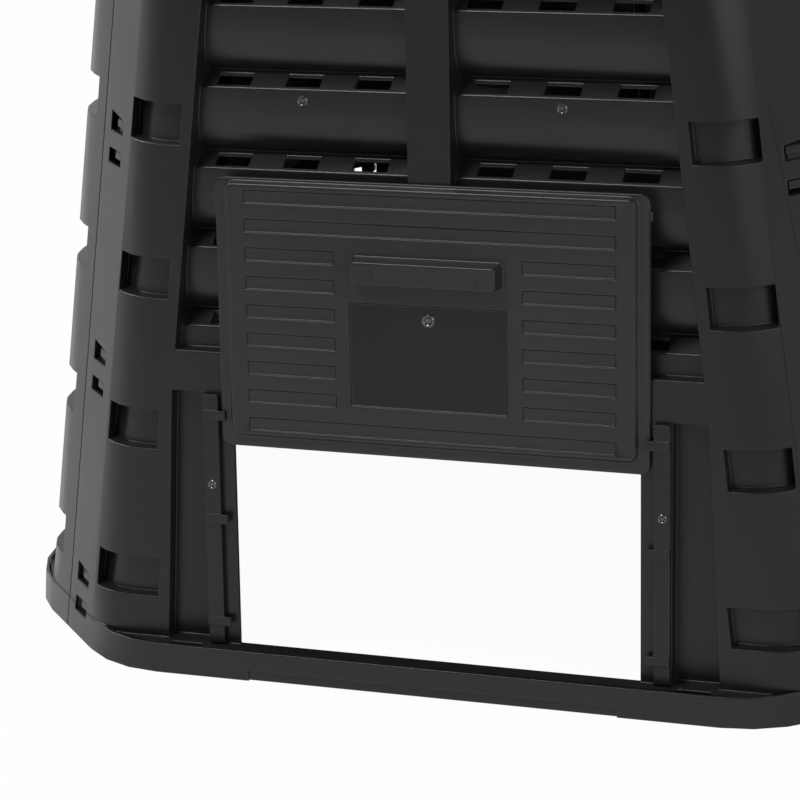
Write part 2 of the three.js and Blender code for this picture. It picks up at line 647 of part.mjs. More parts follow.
function wallFront() {
  const near = (i) => (i === 0 ? POCKET_NEAR_DOOR : POCKET_NEAR);
  const channel = channels();
  const opening = rectangle(-OPENING_HALF, OPENING_HALF, LEDGE_TOP, OPENING_TOP);
  const pegHoles = [-1, 1].flatMap((side) => railPegs(side, HOOK_CLEARANCE, -SHEET - OVERRUN));
  return plainWall(near, POCKET_FAR, SENSE_FRONT)
    .add(channel.block)
    .subtract(channel.hollow)
    .subtract(slab(opening, -OVERRUN, SHEET + OVERRUN))
    .subtract(joined(pegHoles.map((geometry) => solidFrom(geometry, SLOPE))))
    .subtract(hookWindows())
    .subtract(ledgeHoles());
}

// Two ears for each hinge, drawn at -Y like the wall that carries them
function hingeEars() {
  const ears = [];
  for (const side of [-1, 1]) {
    for (const end of [-1, 1]) {
      const start = side * HINGE_OFFSET + end * (BARREL_HALF + EAR_GAP + EAR_SHEET / 2) - EAR_SHEET / 2;
      const shape = new THREE.Shape();
      const root = -halfAt(HINGE_LEVEL) + SHEET / 2;
      shape.moveTo(root, HINGE_LEVEL - EAR_RADIUS);
      shape.lineTo(root, HINGE_LEVEL + EAR_RADIUS);
      shape.lineTo(-HINGE_BACK, HINGE_LEVEL + EAR_RADIUS);
      shape.absarc(-HINGE_BACK, HINGE_LEVEL, EAR_RADIUS, Math.PI / 2, Math.PI * 1.5, false);
      const hole = new THREE.Path();
      hole.absarc(-HINGE_BACK, HINGE_LEVEL, PIN_RADIUS + PIN_CLEARANCE, 0, Math.PI * 2, true);
      shape.holes.push(hole);
      ears.push(solidFrom(prismX(shape, start, start + EAR_SHEET, ROUND_STEPS / 2)));
    }
  }
  return joined(ears);
}

function wallBack() {
  return plainWall(() => POCKET_NEAR, POCKET_FAR, SENSE_FRONT)
    .subtract(hookWindows())
    .add(hingeEars());
}

function wallSide() {
  return plainWall(() => POCKET_NEAR, POCKET_FAR_SIDE, SENSE_SIDE, [atBothEnds(cornerLatches())]);
}

// Harvest door, flat, with its lower edge at z = 0 and the wall face at y = 0
function door() {
  const back = -DOOR_STANDOFF;
  const face = back - DOOR_SHEET;
  const front = face - FIELD_RAISE;
  const flangeLine = roundedRectangle(DOOR_HALF, 0, DOOR_HEIGHT, DOOR_CORNER);
  const flange = solidFrom(prismY(flangeLine, face, back));
  const fieldTop = DOOR_HEIGHT - FIELD_MARGIN_TOP;
  const fieldLine = (inset) =>
    roundedRectangle(FIELD_HALF - inset, FIELD_MARGIN_LOW + inset, fieldTop - inset, FIELD_CORNER - inset);
  const field = taperedY(fieldLine(0), fieldLine(FIELD_BEVEL), face + DOOR_SHEET / 2, front);
  const inner = (inset) => fieldLine(DOOR_SHEET + inset);
  const hollow = taperedY(inner(0), inner(FIELD_BEVEL), back + OVERRUN, front + DOOR_SHEET);
  let body = flange.add(field).subtract(hollow);
  const grooves = [];
  const rows = copiesUpTo(fieldTop - GROOVE_HEIGHT, GROOVE_LOWEST, GROOVE_PITCH);
  for (let i = 0; i < rows; i++) {
    const low = GROOVE_LOWEST + i * GROOVE_PITCH;
    const whole = i === 0 || i >= rows - 2;
    const short = [[-GROOVE_HALF, -GROOVE_INNER], [GROOVE_INNER, GROOVE_HALF]];
    for (const [x0, x1] of whole ? [[-GROOVE_HALF, GROOVE_HALF]] : short) {
      const groove = rectangle(x0, x1, low, low + GROOVE_HEIGHT);
      grooves.push(prismY(groove, front - OVERRUN, front + GROOVE_DEPTH));
    }
  }
  const label = rectangle(-LABEL_HALF, LABEL_HALF, LABEL_LOW, LABEL_LOW + LABEL_HEIGHT);
  grooves.push(prismY(label, front - OVERRUN, front + GROOVE_DEPTH));
  body = body.subtract(joined(grooves.map((geometry) => solidFrom(geometry))));
  const nibs = [-1, 1].map((side) => {
    const edges = [side * (DOOR_HALF - NIB_REACH), side * (DOOR_HALF + NIB_REACH)].sort((a, b) => a - b);
    const high = DOOR_HEIGHT - NIB_DROP;
    return solidFrom(prismY(rectangle(...edges, high - NIB_HEIGHT, high), face, back));
  });
  return body.add(joined(nibs)).add(handle(front)).subtract(fingerGap(front));
}

// Prism along y between two outlines, given at its back and at its front
function taperedY(backLine, frontLine, back, front) {
  const ring = (line, y) => line.map(([x, z]) => new THREE.Vector3(x, z, -y));
  return solidFrom(loft([ring(backLine, back), ring(frontLine, front)]).rotateX(Math.PI / 2));
}

function handle(front) {
  const high = HANDLE_LOW + HANDLE_HEIGHT;
  const wide = roundedRectangle(HANDLE_HALF, HANDLE_LOW, high, HANDLE_CORNER);
  const slim = HANDLE_HALF - HANDLE_TAPER;
  const narrow = roundedRectangle(slim, HANDLE_LOW, high - HANDLE_TAPER, HANDLE_CORNER);
  return taperedY(wide, narrow, front + DOOR_SHEET / 2, front - HANDLE_REACH);
}

function fingerGap(front) {
  const half = HANDLE_HALF - HANDLE_TAPER - HANDLE_SHEET;
  const high = HANDLE_LOW + HANDLE_HEIGHT - HANDLE_TAPER - HANDLE_SHEET;
  const gap = rectangle(-half, half, HANDLE_LOW - OVERRUN, high);
  return solidFrom(prismY(gap, front - HANDLE_REACH + HANDLE_SHEET, front));
}

// Rail with clips over the door's edge and barbed pegs through the wall
function rail(side) {
  const sorted = (a, b) => [side * a, side * b].sort((p, q) => p - q);
  const edges = sorted(RAIL_NEAR, RAIL_FAR);
  const strip = flatBox(...edges, RAIL_FACE, RAIL_STANDOFF, RAIL_LOW, RAIL_TOP);
  const cap = flatBox(...edges, RAIL_FACE + CAP_LIFT, RAIL_STANDOFF, RAIL_TOP - CAP_HEIGHT, RAIL_TOP);
  const under = DOOR_STANDOFF + DOOR_SHEET + CLIP_GAP;
  const lowest = RAIL_LOW + CLIP_INSET_LOW;
  const highest = RAIL_TOP - CLIP_INSET_TOP;
  const clips = [lowest, (lowest + highest) / 2, highest].map((level) =>
    flatBox(...sorted(CLIP_REACH, RAIL_FAR), CLIP_FACE, under, level - CLIP_HEIGHT / 2, level + CLIP_HEIGHT / 2),
  );
  const through = -SHEET - SEAM_GAP;
  const middle = (RAIL_NEAR + RAIL_FAR) / 2;
  const half = PEG_WIDTH / 2;
  const barbs = pegLevels.map((level) => {
    const low = level - PEG_HEIGHT / 2;
    const high = low + PEG_HEIGHT + PEG_BARB;
    return flatBox(side * middle - half, side * middle + half, through, through - PEG_BARB, low, high);
  });
  const pegs = railPegs(side, 0, through - PEG_BARB);
  return joined([strip, cap, ...clips, ...pegs, ...barbs].map((geometry) => solidFrom(geometry)));
}

// Closed plan ring of the lid, without the points in the middle of its straight corners
function lidRing(half, leg, radius, z) {
  const side = planLine(half, 2 * half - leg, radius, half - leg / 2, 0).slice(1, -1);
  const ring = [];
  for (let turn = 0; turn < 4; turn++) {
    const angle = (turn * Math.PI) / 2;
    for (const [x, y] of side) {
      ring.push(new THREE.Vector3(
        x * Math.cos(angle) - y * Math.sin(angle),
        x * Math.sin(angle) + y * Math.cos(angle),
        z,
      ));
    }
  }
  return ring;
}

function lidShell() {
  const outer = LID_CLEARANCE + LID_SHEET;
  const seat = WALL_TOP + LID_SEAT_GAP;
  const roof = seat + LID_SHEET;
  const follow = (z, grow) =>
    lidRing(halfAt(z) + grow, legAt(z) + grow * LEG_PER_INSET, CORNER_RADIUS + grow, z);
  const centre = (half, z) => lidRing(half, half * LID_CENTRE_LEG_SHARE, LID_CENTRE_RADIUS, z);
  const rings = [
    centre(LID_PLATE_HALF - LID_SHEET, LID_TOP - LID_SHEET),
    centre(LID_SLOPE_HALF - LID_SHEET, LID_SLOPE_TOP - LID_SHEET),
    lidRing(halfAt(seat) - LID_SHOULDER, legAt(seat), CORNER_RADIUS, seat),
    follow(seat, LID_CLEARANCE),
    follow(LID_SKIRT_LOW, LID_CLEARANCE),
    follow(LID_SKIRT_LOW, outer),
    follow(seat, outer),
    lidRing(halfAt(roof) - LID_SHEET, legAt(roof), CORNER_RADIUS, roof + LID_SHEET),
    centre(LID_SLOPE_HALF, LID_SLOPE_TOP),
    centre(LID_PLATE_HALF, LID_TOP),
  ];
  return solidFrom(loft(rings));
}

// Raised ribs that run down each slope of the lid
function lidRibs() {
  const low = WALL_TOP + LID_SEAT_GAP + 2 * LID_SHEET;
  const high = LID_SLOPE_TOP;
  const far = halfAt(low) - LID_SHEET;
  const profile = [
    [-far, low],
    [-LID_SLOPE_HALF, high],
    [-LID_SLOPE_HALF, high + LID_RIB_RAISE],
    [-far, low + LID_RIB_RAISE],
  ];
  const ribs = [];
  for (let turn = 0; turn < 4; turn++) {
    const matrix = new THREE.Matrix4().makeRotationZ((turn * Math.PI) / 2);
    for (const step of [-1, 0, 1]) {
      const left = step * LID_RIB_SPACING - LID_RIB_WIDTH / 2;
      ribs.push(solidFrom(prismX(shapeOf(profile), left, left + LID_RIB_WIDTH), matrix));
    }
  }
  return joined(ribs);
}

// Hand grip along the front edge of the lid's skirt
function lidGrip() {
  const root = -halfAt(LID_SKIRT_LOW) - LID_CLEARANCE - LID_SHEET / 2;
  const tip = root - GRIP_REACH;
  const profile = [
    [root, LID_SKIRT_LOW],
    [root, LID_SKIRT_LOW + GRIP_SHEET],
    [tip, LID_SKIRT_LOW + GRIP_SHEET],
    [tip, LID_SKIRT_LOW + GRIP_SHEET - GRIP_LIP],
    [tip + GRIP_SHEET, LID_SKIRT_LOW + GRIP_SHEET - GRIP_LIP],
    [tip + GRIP_SHEET, LID_SKIRT_LOW],
  ];
  return solidFrom(prismX(shapeOf(profile), -GRIP_HALF, GRIP_HALF));
}

// Barrels on arms that hang from the lid's back edge
function lidBarrels() {
  const barrels = [];
  for (const side of [-1, 1]) {
    const start = side * HINGE_OFFSET - BARREL_HALF;
    const root = halfAt(LID_SKIRT_LOW) + LID_CLEARANCE + LID_SHEET / 2;
    const shape = new THREE.Shape();
    shape.moveTo(HINGE_BACK + BARREL_RADIUS, HINGE_LEVEL);
    shape.lineTo(HINGE_BACK + BARREL_RADIUS, HINGE_LEVEL + ARM_HEIGHT - BARREL_RADIUS);
    shape.lineTo(root, HINGE_LEVEL + ARM_HEIGHT);
    shape.lineTo(root, LID_SKIRT_LOW);
    shape.lineTo(HINGE_BACK - BARREL_RADIUS, LID_SKIRT_LOW);
    shape.lineTo(HINGE_BACK - BARREL_RADIUS, HINGE_LEVEL);
    shape.absarc(HINGE_BACK, HINGE_LEVEL, BARREL_RADIUS, Math.PI, Math.PI * 2, false);
    const hole = new THREE.Path();
    hole.absarc(HINGE_BACK, HINGE_LEVEL, PIN_RADIUS + PIN_CLEARANCE, 0, Math.PI * 2, true);
    shape.holes.push(hole);
    barrels.push(solidFrom(prismX(shape, start, start + 2 * BARREL_HALF, ROUND_STEPS / 2)));
  }
  return joined(barrels);
}

function lid() {
  return lidShell().add(lidRibs()).add(lidGrip()).add(lidBarrels());
}

// Hinge pin with a head, along x from its middle
function hingePin() {
  const reach = BARREL_HALF + EAR_GAP + EAR_SHEET + PIN_CLEARANCE;
  const profile = [
    [0, -reach],
    [PIN_RADIUS, -reach],
    [PIN_RADIUS, reach],
    [PIN_HEAD_RADIUS, reach],
    [PIN_HEAD_RADIUS, reach + PIN_HEAD],
    [0, reach + PIN_HEAD],
  ].map(([radius, along]) => new THREE.Vector2(radius, along));
  return new THREE.LatheGeometry(profile, ROUND_STEPS).rotateZ(-Math.PI / 2);
}

// Assembly
const bin = new THREE.Group();
bin.name = "compost_bin";

const plastic = (color, roughness) => new THREE.MeshStandardMaterial({ color, roughness, metalness: 0 });
const wallPlastic = plastic(0x2e2e2e, 0.55);
const doorPlastic = plastic(0x363636, 0.5);
const lidPlastic = plastic(0x303030, 0.55);

function place(name, solid, material, parent = bin) {
  const geometry = solid.isBufferGeometry ? solid : geometryFrom(solid);
  const mesh = new THREE.Mesh(geometry, material.clone());
  mesh.name = name;
  parent.add(mesh);
  return mesh;
}

place("wall_front", wallFront(), wallPlastic);
place("wall_back", wallBack(), wallPlastic).rotation.z = Math.PI;
const sideWall = geometryFrom(wallSide());
place("wall_right", sideWall, wallPlastic).rotation.z = Math.PI / 2;
place("wall_left", sideWall, wallPlastic).rotation.z = -Math.PI / 2;

const onSlope = new THREE.Group();
onSlope.position.set(0, -WALL_HALF, 0);
onSlope.rotation.x = -LEAN_ANGLE;
bin.add(onSlope);
place("harvest_door", door(), doorPlastic, onSlope).position.z = DOOR_BOTTOM;
place("door_rail_left", rail(-1), wallPlastic, onSlope);
place("door_rail_right", rail(1), wallPlastic, onSlope);

place("lid", lid(), lidPlastic);
const pinAt = (side) => new THREE.Vector3(side * HINGE_OFFSET, HINGE_BACK, HINGE_LEVEL);
place("lid_hinge_pin_left", hingePin(), lidPlastic).position.copy(pinAt(-1));
place("lid_hinge_pin_right", hingePin(), lidPlastic).position.copy(pinAt(1));

export default bin;
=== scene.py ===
# %% [markdown]
# A square garden compost bin: four louvred walls that hook together at the corners, a
# harvest door that slides in two clip-on rails, and a hinged lid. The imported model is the
# fixed frame, and every piece made here sits in it, in metres, with the door facing -Y.

# %% Load the frame
from math import atan, cos, degrees, pi, radians

import bmesh
import bpy
from mathutils import Matrix, Vector


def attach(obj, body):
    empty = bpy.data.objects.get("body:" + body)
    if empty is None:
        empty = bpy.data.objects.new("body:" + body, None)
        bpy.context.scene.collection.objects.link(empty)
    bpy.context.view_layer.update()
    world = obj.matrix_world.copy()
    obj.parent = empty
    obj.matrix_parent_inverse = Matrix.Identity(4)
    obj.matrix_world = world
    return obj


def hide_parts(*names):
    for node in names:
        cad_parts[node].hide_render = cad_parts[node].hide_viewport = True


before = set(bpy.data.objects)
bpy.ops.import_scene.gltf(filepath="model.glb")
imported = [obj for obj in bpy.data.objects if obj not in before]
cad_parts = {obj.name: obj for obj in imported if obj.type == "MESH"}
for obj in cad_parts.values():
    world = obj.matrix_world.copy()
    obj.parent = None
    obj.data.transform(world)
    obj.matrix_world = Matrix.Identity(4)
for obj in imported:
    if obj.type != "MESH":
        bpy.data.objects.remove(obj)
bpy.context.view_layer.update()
print("frame:", sorted(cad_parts))

# %% [markdown]
# The camera stands right of the door and a little above the lid, as a person does who
# walks up to the bin. Its place was found by matching corners of the wall, the door and the
# louvres with the photograph. It looks at the middle of the picture, so no shift is needed,
# and it is turned a few degrees about its own axis, as the photograph is.

# %% Camera
IMAGE = 800  # the picture is this many pixels wide and high
SENSOR = 36  # its width in millimetres
FOCAL_PIXELS = 3156.2
CAMERA_PLACE = Vector((0.6993, -2.2529, 0.9534))
CAMERA_YAW, CAMERA_DOWN, CAMERA_ROLL = radians(20.5), radians(19.85), radians(-3.39)

scene = bpy.context.scene
lens = bpy.data.cameras.new("camera")
lens.sensor_width = SENSOR
lens.lens = FOCAL_PIXELS * SENSOR / IMAGE
camera = bpy.data.objects.new("camera", lens)
scene.collection.objects.link(camera)
turn = Matrix.Rotation(CAMERA_YAW, 4, "Z") @ Matrix.Rotation(pi / 2 - CAMERA_DOWN, 4, "X")
roll = Matrix.Rotation(CAMERA_ROLL, 4, "Z")
camera.matrix_world = Matrix.Translation(CAMERA_PLACE) @ turn @ roll
scene.camera = camera
print("lens", round(lens.lens, 1), "mm")

# %% [markdown]
# The finishes are built from the same few nodes again and again, so two helpers come first.
# One reads noise in the piece's own Object coordinates, so that a pattern stays where it is
# when the piece moves. The other moves a value from one range to another.

# %% Noise and ranges
def noise_on(tree, scale, detail, squeeze=(1, 1, 1)):
    place = tree.nodes.new("ShaderNodeTexCoord")
    mapping = tree.nodes.new("ShaderNodeMapping")
    mapping.inputs["Scale"].default_value = squeeze
    texture = tree.nodes.new("ShaderNodeTexNoise")
    texture.inputs["Scale"].default_value = scale
    texture.inputs["Detail"].default_value = detail
    tree.links.new(place.outputs["Object"], mapping.inputs["Vector"])
    tree.links.new(mapping.outputs["Vector"], texture.inputs["Vector"])
    return texture.outputs["Fac"]


def in_range(tree, value, source, target, smooth=False):
    """The value, moved from the source range to the target range."""
    mapped = tree.nodes.new("ShaderNodeMapRange")
    mapped.interpolation_type = "SMOOTHSTEP" if smooth else "LINEAR"
    sockets = ("From Min", "From Max", "To Min", "To Max")
    for socket, number in zip(sockets, (*source, *target)):
        mapped.inputs[socket].default_value = number
    tree.links.new(value, mapped.inputs["Value"])
    return mapped.outputs["Result"]


print("helpers:", noise_on.__name__, in_range.__name__)

# %% [markdown]
# The bin is moulded in near-black plastic with a fine satin grain. One flat colour would
# look like paint, so the finish has four layers: a slow drift of the colour from the flow of
# the melt, faint vertical flow streaks, a fine grain in the bump, and a roughness that
# varies a little over the surface.

# %% Moulded plastic
DRIFT_SCALE, STREAK_SCALE, GRAIN_SCALE = 7, 45, 1900
UPRIGHT = (1, 1, 0.06)  # draws the streaks out along Z
STREAK_SHARE = 0.35
TONE_PLACES, TONES = (0.45, 0.95), (0.82, 1.18)  # darkest and lightest share of the colour
ROUGHNESS_SPREAD = (-0.05, 0.07)
BUMP_STRENGTH = 0.2


def moulded_plastic(name, color, roughness, shine=0.32, grain=0.0004):
    material = bpy.data.materials.new(name)
    material.use_nodes = True
    tree = material.node_tree
    surface = tree.nodes["Principled BSDF"]
    surface.inputs["Specular IOR Level"].default_value = shine
    drift = noise_on(tree, DRIFT_SCALE, 3)
    streaks = noise_on(tree, STREAK_SCALE, 2, UPRIGHT)

    mixed = tree.nodes.new("ShaderNodeMath")
    mixed.operation = "MULTIPLY_ADD"
    mixed.inputs[1].default_value = STREAK_SHARE
    tree.links.new(streaks, mixed.inputs[0])
    tree.links.new(drift, mixed.inputs[2])
    ramp = tree.nodes.new("ShaderNodeValToRGB")
    for end, place, tone in zip(ramp.color_ramp.elements, TONE_PLACES, TONES):
        end.position = place
        end.color = (*[channel * tone for channel in color], 1)
    tree.links.new(mixed.outputs[0], ramp.inputs["Fac"])
    tree.links.new(ramp.outputs["Color"], surface.inputs["Base Color"])

    rough_ends = [roughness + change for change in ROUGHNESS_SPREAD]
    tree.links.new(in_range(tree, drift, (0, 1), rough_ends), surface.inputs["Roughness"])

    bump = tree.nodes.new("ShaderNodeBump")
    bump.inputs["Strength"].default_value = BUMP_STRENGTH
    bump.inputs["Distance"].default_value = grain
    tree.links.new(noise_on(tree, GRAIN_SCALE, 2), bump.inputs["Height"])
    tree.links.new(bump.outputs["Normal"], surface.inputs["Normal"])
    return material


wall_plastic = moulded_plastic("wall_plastic", (0.0135, 0.0135, 0.0138), 0.28)
door_plastic = moulded_plastic("door_plastic", (0.0195, 0.0195, 0.0198), 0.32, 0.4)
lid_plastic = moulded_plastic("lid_plastic", (0.015, 0.015, 0.0153), 0.30)
# The label's colour is darker than the door's: painted shade. Its finer grain and lower
# shine are real.
label_plastic_painted_shade = moulded_plastic("label_plastic_painted_shade", (0.010, 0.010, 0.0102), 0.30, 0.3, 0.0001)
# The gate marks' colour is lighter than the wall's: a painted highlight for their bright
# rings. Their low roughness and high shine give real glints as well.
mark_plastic_painted_highlight = moulded_plastic("mark_plastic_painted_highlight", (0.03, 0.03, 0.0303), 0.14, 0.9, 0.0001)
print("finishes:", wall_plastic.name, door_plastic.name, lid_plastic.name)

# %% [markdown]
# Every CAD node stays as it is and only gets its finish here, so that nothing is left in a
# flat colour before its own piece is made.

# %% First coat
FINISH = {"wall": wall_plastic, "door": door_plastic, "lid": lid_plastic}


def kind_of(name):
    return "door" if name == "harvest_door" else "lid" if "lid" in name else "wall"


for name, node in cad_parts.items():
    node.data.materials.clear()
    node.data.materials.append(FINISH[kind_of(name)])
print("coated", len(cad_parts), "nodes")

# %% [markdown]
# A real moulding has no knife edges: the mould rounds every edge by half a millimetre to a
# millimetre, and those roundings catch the light as thin bright lines. The CAD solids have
# sharp edges, so each one is copied, its doubled points are merged, and every edge that is
# sharper than the facets of the curves is bevelled in three steps. A bevel modifier on the
# CAD mesh would leave the doubled points apart, and the faces would come loose.

# %% Round the edges of a copy
DOUBLED = 0.00002
FACET_ANGLE = radians(33)  # the curves are cut into facets that meet at less than this
ROUNDING_STEPS = 3


def rounded_copy(name, rounding):
    shape = bmesh.new()
    shape.from_mesh(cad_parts[name].data)
    bmesh.ops.remove_doubles(shape, verts=shape.verts, dist=DOUBLED)
    bmesh.ops.dissolve_degenerate(shape, edges=shape.edges, dist=DOUBLED)
    sharp = [edge for edge in shape.edges if edge.calc_face_angle(0) > FACET_ANGLE]
    bmesh.ops.bevel(shape, geom=sharp, offset=rounding, offset_type="OFFSET",
                    segments=ROUNDING_STEPS, profile=0.5, affect="EDGES",
                    clamp_overlap=False, material=-1)
    return shape


print("edges over", round(degrees(FACET_ANGLE)), "degrees are rounded")

# %% [markdown]
# The copy is made of triangles of all sizes, whose averaged normals would smear shades
# across the flat faces. So each corner's normal is an average in which every face counts by
# its area: the flat faces stay flat, the curves stay smooth, and the narrow roundings take
# the whole turn.

# %% Weigh the normals
def weigh_normals(mesh):
    around = [[] for vertex in mesh.vertices]
    for face in mesh.polygons:
        for vertex in face.vertices:
            around[vertex].append((face.normal.copy(), face.area))
    corners = []
    for face in mesh.polygons:
        for vertex in face.vertices:
            total = Vector()
            for normal, area in around[vertex]:
                if normal.dot(face.normal) > cos(FACET_ANGLE):
                    total += normal * area
            corners.append(total.normalized())
    mesh.normals_split_custom_set(corners)


print("normals are averaged over faces within", round(degrees(FACET_ANGLE)), "degrees")

# %% [markdown]
# Each finished copy stands for its CAD node in the picture. It rides the body that carries
# the node, so the door's copy slides and the lid's copy swings with their joints. The walls,
# rails and pins all stay with the bin.

# %% Rounded copies of the CAD pieces
BODY = {"harvest_door": "door", "lid": "lid"}
ROUNDING = {
    "wall_front": 0.0009, "wall_back": 0.0009, "wall_left": 0.0009, "wall_right": 0.0009,
    "door_rail_left": 0.0006, "door_rail_right": 0.0006, "harvest_door": 0.0009,
    "lid": 0.0015, "lid_hinge_pin_left": 0.0004, "lid_hinge_pin_right": 0.0004,
}


def finish_piece(shape, name, finish, body):
    mesh = bpy.data.meshes.new(name)
    shape.to_mesh(mesh)
    shape.free()
    mesh.materials.append(finish)
    mesh.shade_smooth()
    weigh_normals(mesh)
    piece = bpy.data.objects.new(name, mesh)
    scene.collection.objects.link(piece)
    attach(piece, body)
    return piece


for name, rounding in ROUNDING.items():
    kind = kind_of(name)
    shape = rounded_copy(name, rounding)
    piece = finish_piece(shape, name + "_moulded", FINISH[kind], BODY.get(name, "bin"))
    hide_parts(name)
    print(piece.name, len(piece.data.polygons), "faces")

# %% [markdown]
# Where the melt entered the mould, a small round gate mark is left: a ring that stands up a
# little with a dimple in it. Each one starts as a filled circle, and insets and short
# moves give it its rim. It is then laid on the leaning face that carries it. Its colour is
# lighter than the wall's, which is a painted highlight on the ring. Its glossy finish adds
# real glints.

# %% Gate marks
WALL_HALF, LEAN = 0.3438, 0.117  # half width of the walls at the ground, and their lean
LEAN_ANGLE = atan(LEAN)
MARK_SIDES, MARK_LIFT = 28, 0.00005
MARK_RINGS = (  # how far each ring is inset and raised, as shares of the radius
    (0.16, 0.14), (0.16, 0.0), (0.16, -0.12), (0.1, 0.1), (0.1, -0.06))
GATE_MARKS = {  # across, height, depth into the wall, radius, body
    "band_left": (-0.0953, 0.4109, 0.010, 0.0040, "bin"),
    "band_right": (0.0917, 0.4116, 0.010, 0.0040, "bin"),
    "rail_left": (-0.1657, 0.1388, -0.0045, 0.0034, "bin"),
    "rail_right": (0.1657, 0.1391, -0.0045, 0.0034, "bin"),
    "door": (0, 0.2673, -0.0066, 0.0048, "door"),
}


def on_front(across, height, depth):
    """Placement on the leaning front wall: local x across, y up the slope, z outward."""
    place = Matrix.Translation((across, -WALL_HALF + LEAN * height + depth, height))
    return place @ Matrix.Rotation(pi / 2 - LEAN_ANGLE, 4, "X")


def gate_mark(name, place, radius, body):
    shape = bmesh.new()
    bmesh.ops.create_circle(shape, cap_ends=True, segments=MARK_SIDES, radius=radius)
    face = list(shape.faces)[0]
    for inset, rise in MARK_RINGS:
        bmesh.ops.inset_individual(shape, faces=[face], thickness=inset * radius)
        bmesh.ops.translate(shape, verts=face.verts, vec=(0, 0, rise * radius))
    bmesh.ops.translate(shape, verts=shape.verts, vec=(0, 0, MARK_LIFT))
    bmesh.ops.transform(shape, matrix=place, verts=shape.verts)
    # The mark takes the lighter colour, a painted highlight.
    finish_piece(shape, name, mark_plastic_painted_highlight, body)


for where, (across, height, depth, radius, body) in GATE_MARKS.items():
    gate_mark("gate_mark_" + where, on_front(across, height, depth), radius, body)
print("made", len(GATE_MARKS), "gate marks")

# %% [markdown]
# The field for a label is a shallow recess that the mould leaves smooth, with a finer grain
# and less shine than the door around it. Its colour is also painted darker than the door's:
# painted shade for its darker look. A thin sheet with rounded corners lies on its floor. It
# is one grid face whose four corners are bevelled.

# %% Smooth face of the label recess, painted darker
LABEL_HALF, LABEL_LOW, LABEL_HIGH = 0.0566, 0.2044, 0.2766
LABEL_DEPTH = -0.00655  # the recess's floor lies this far out from the wall
LABEL_CORNER, LABEL_STEPS = 0.002, 4

label_middle = (LABEL_LOW + LABEL_HIGH) / 2
label_rise = (LABEL_HIGH - LABEL_LOW) / 2 / cos(LEAN_ANGLE)  # half its height up the slope
shape = bmesh.new()
bmesh.ops.create_grid(shape, x_segments=1, y_segments=1, size=1)
bmesh.ops.scale(shape, vec=(LABEL_HALF, label_rise, 1), verts=shape.verts)
bmesh.ops.bevel(shape, geom=shape.verts, offset=LABEL_CORNER, segments=LABEL_STEPS,
                profile=0.5, affect="VERTICES", material=-1)
label_place = on_front(0, label_middle, LABEL_DEPTH)
bmesh.ops.transform(shape, matrix=label_place, verts=shape.verts)
# The sheet carries the darker colour, painted shade on the recess floor.
finish_piece(shape, "label_face", label_plastic_painted_shade, "door")
print("label face", round(2000 * LABEL_HALF), "mm wide")

# %% [markdown]
# Two plain arrows on the handle point the way the door slides. Each is one outline, filled
# and raised by a fifth of a millimetre.

# %% Arrows on the handle
HANDLE_FACE = 0.01755 / cos(LEAN_ANGLE)  # from the wall out to the front of the handle
ARROW_ACROSS, ARROW_HEIGHT, ARROW_RISE = 0.0375, 0.2987, 0.0002
ARROW = ((-0.0006, -0.0045), (0.0006, -0.0045), (0.0006, 0.0008), (0.0019, 0.0008),
         (0.0, 0.0042), (-0.0019, 0.0008), (-0.0006, 0.0008))

for side, across in (("left", -ARROW_ACROSS), ("right", ARROW_ACROSS)):
    shape = bmesh.new()
    outline = shape.faces.new([shape.verts.new((x, y, 0)) for x, y in ARROW])
    raised = bmesh.ops.extrude_face_region(shape, geom=[outline])["geom"]
    top = [item for item in raised if isinstance(item, bmesh.types.BMVert)]
    bmesh.ops.translate(shape, verts=top, vec=(0, 0, ARROW_RISE))
    arrow_place = on_front(across, ARROW_HEIGHT, -HANDLE_FACE)
    bmesh.ops.transform(shape, matrix=arrow_place, verts=shape.verts)
    finish_piece(shape, "arrow_" + side, door_plastic, "door")
print("arrows made")

# %% [markdown]
# A white floor and a white backdrop could be lit until they are white, but so much light
# would wash out the black plastic. Instead, floor and world ask what kind of ray looks at
# them. The camera, a reflection and a view through something clear see them white, while
# the light that they give to the bin stays low.

# %% Who is looking
EVERY_LOOK = ("Is Camera Ray", "Is Glossy Ray", "Is Transmission Ray")
STRAIGHT_LOOK = ("Is Camera Ray", "Is Transmission Ray")  # no reflections


def combined(tree, operation, first, second):
    both = tree.nodes.new("ShaderNodeMath")
    both.operation = operation
    tree.links.new(first, both.inputs[0])
    tree.links.new(second, both.inputs[1])
    return both.outputs[0]


def seen_by(tree, kinds):
    """1 for rays of the named kinds, 0 for all others."""
    path = tree.nodes.new("ShaderNodeLightPath")
    seen = path.outputs[kinds[0]]
    for kind in kinds[1:]:
        seen = combined(tree, "MAXIMUM", seen, path.outputs[kind])
    return seen


print("white for", ", ".join(EVERY_LOOK))

# %% [markdown]
# The floor's finish is a dull white that takes the bin's shadow, with a plain white glow
# mixed in for the rays that look at it. On the ground inside the bin the glow fades out
# toward the corners, so that the small windows of the corner hooks look into the dark.

# %% Floor finish
FLOOR_GLOW = 0.96  # share of the plain white that a looking ray sees in the floor
FLOOR_WHITE, FLOOR_ROUGHNESS, FLOOR_SHINE = (0.85, 0.85, 0.85, 1), 0.9, 0.1
FADE = (0.49, 0.525)  # the glow fades between these sums of the distances along x and y


def corner_fade(tree):
    """1 over most of the ground inside the bin and 0 in its corners."""
    place = tree.nodes.new("ShaderNodeTexCoord")
    distances = tree.nodes.new("ShaderNodeVectorMath")
    distances.operation = "ABSOLUTE"
    total = tree.nodes.new("ShaderNodeVectorMath")
    total.operation = "DOT_PRODUCT"
    total.inputs[1].default_value = (1, 1, 0)
    tree.links.new(place.outputs["Object"], distances.inputs[0])
    tree.links.new(distances.outputs["Vector"], total.inputs[0])
    return in_range(tree, total.outputs["Value"], FADE, (1, 0), smooth=True)


